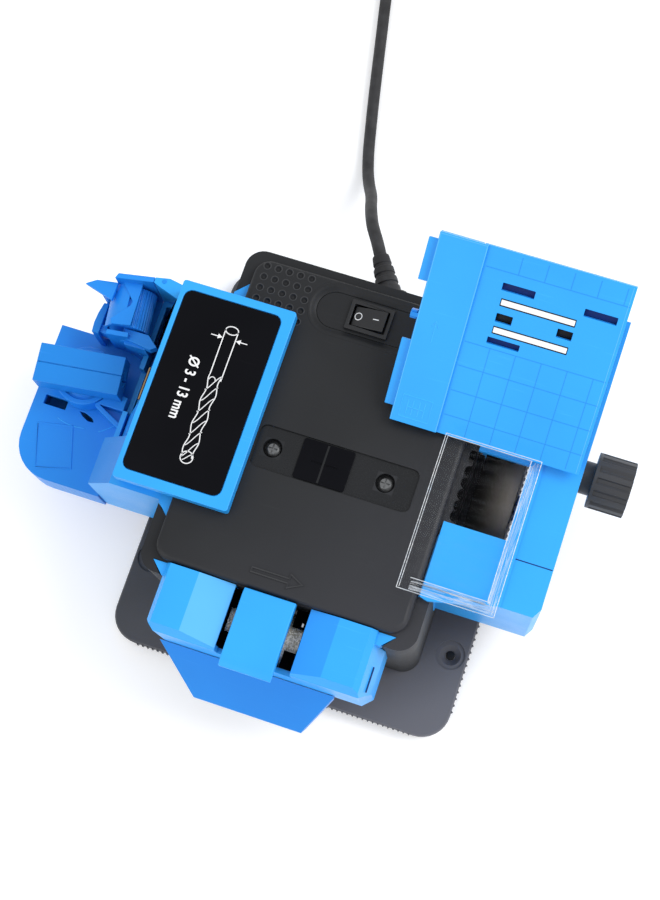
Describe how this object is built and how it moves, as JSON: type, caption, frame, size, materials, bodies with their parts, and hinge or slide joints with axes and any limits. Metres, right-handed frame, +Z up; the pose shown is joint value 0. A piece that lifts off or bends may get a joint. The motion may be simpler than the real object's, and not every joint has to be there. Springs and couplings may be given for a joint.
{
  "type": "drill bit sharpener",
  "caption": "Electric bench sharpener: black motor housing on a base plate with lift-off blue drill, knife and chisel grinding modules and a mains lead.",
  "frame": {"origin": "middle of the bounding box, without the mains lead, at the height the feet stand on", "axes": "+X towards the chisel module and clamp knob, +Y towards the back where the lead leaves, +Z up"},
  "size_m": [0.297, 0.5308, 0.1547],
  "materials": {
    "black_plastic": "fine textured satin",
    "blue_plastic": "moulded satin gloss",
    "black_rubber": "matt",
    "steel": "machined",
    "dark_plastic": "semi gloss",
    "magnet_white": "gloss",
    "corundum": "coarse grit",
    "diamond_grit": "diamond coated",
    "clear_plastic": "clear gloss",
    "label_black": "satin print",
    "copper": "wound core"
  },
  "bodies": {
    "machine": {"base_plate": "black_plastic", "foot_front_left": "black_rubber", "foot_front_right": "black_rubber", "foot_back_left": "black_rubber", "foot_back_right": "black_rubber", "housing_shell": "black_plastic", "top_cover": "black_plastic", "top_badge": "dark_plastic", "cover_screw_left": "steel", "cover_screw_right": "steel", "switch_body": "dark_plastic", "motor_can": "steel", "bearing_left": "steel", "bearing_right": "steel", "drive_belt": "black_rubber", "strain_relief": "black_rubber", "cord": "black_rubber", "cord_coil": "black_rubber", "plug_body": "black_rubber", "plug_pin_1": "steel", "plug_pin_2": "steel"},
    "rotor": {"rotor_shaft": "copper", "cooling_fan": "dark_plastic", "chisel_wheel": "corundum", "drill_wheel": "corundum", "wheel_nut_left": "steel", "wheel_nut_right": "steel", "motor_pulley": "steel"},
    "knife_rotor": {"knife_spindle": "steel", "knife_wheel": "diamond_grit", "knife_pulley": "steel"},
    "rocker": {"switch_rocker": "dark_plastic"},
    "knife_module": {"knife_body": "blue_plastic", "knife_cap": "blue_plastic", "knife_tray": "blue_plastic"},
    "drill_module": {"drill_body": "blue_plastic", "label_lid": "blue_plastic", "label_plate": "label_black", "drill_tray": "blue_plastic", "stop_arm": "blue_plastic", "back_bracket": "blue_plastic", "curved_guard": "blue_plastic", "pointer": "blue_plastic"},
    "drill_holder": {"swivel_plate": "blue_plastic", "jaw_front": "blue_plastic", "jaw_back": "blue_plastic"},
    "thumbwheel": {"thumbwheel": "blue_plastic"},
    "chisel_module": {"chisel_body": "blue_plastic", "guide_bar_front": "steel", "guide_bar_back": "steel"},
    "carriage": {"carriage_plate": "blue_plastic", "fence": "blue_plastic", "fence_clip": "blue_plastic", "magnet_back": "magnet_white", "magnet_front": "magnet_white"},
    "shield": {"shield": "clear_plastic"},
    "knob": {"clamp_knob": "dark_plastic", "clamp_screw": "steel"}
  },
  "joints": [
    {"name": "rotor_spin", "type": "hinge", "parent": "machine", "child": "rotor", "pos_m": [0.009, 0.017, 0.068], "axis": [1, 0, 0], "continuous": true},
    {"name": "knife_wheel_spin", "type": "hinge", "parent": "machine", "child": "knife_rotor", "pos_m": [0.006, -0.077, 0.076], "axis": [1, 0, 0], "continuous": true},
    {"name": "rocker_tilt", "type": "hinge", "parent": "machine", "child": "rocker", "pos_m": [0.0085, 0.0765, 0.1002], "axis": [0, 1, 0], "range_deg": [0, 11]},
    {"name": "knife_module_lift", "type": "slide", "parent": "machine", "child": "knife_module", "axis": [0, 0, 1], "range_m": [0, 0.1]},
    {"name": "drill_module_lift", "type": "slide", "parent": "machine", "child": "drill_module", "axis": [0, 0, 1], "range_m": [0, 0.1]},
    {"name": "chisel_module_lift", "type": "slide", "parent": "machine", "child": "chisel_module", "axis": [0, 0, 1], "range_m": [0, 0.1]},
    {"name": "drill_holder_swivel", "type": "hinge", "parent": "drill_module", "child": "drill_holder", "pos_m": [-0.124, 0.0185, 0.062], "axis": [0, 0, 1], "range_deg": [-5, 12]},
    {"name": "thumbwheel_turn", "type": "hinge", "parent": "drill_module", "child": "thumbwheel", "pos_m": [-0.1085, 0.0525, 0.074], "axis": [-0.1219, 0.9925, 0], "range_deg": [-180, 180]},
    {"name": "carriage_slide", "type": "slide", "parent": "chisel_module", "child": "carriage", "axis": [1, 0, 0], "range_m": [-0.007, 0.007]},
    {"name": "shield_hinge", "type": "hinge", "parent": "chisel_module", "child": "shield", "pos_m": [0.083, 0.0316, 0.116], "axis": [-1, 0, 0], "range_deg": [0, 80]},
    {"name": "knob_turn", "type": "hinge", "parent": "chisel_module", "child": "knob", "pos_m": [0.139, 0.04, 0.077], "axis": [1, 0, 0], "range_deg": [-180, 180]}
  ],
  "couplings": [
    {"joint": "knife_wheel_spin", "follows": "rotor_spin", "ratio": 1}
  ]
}
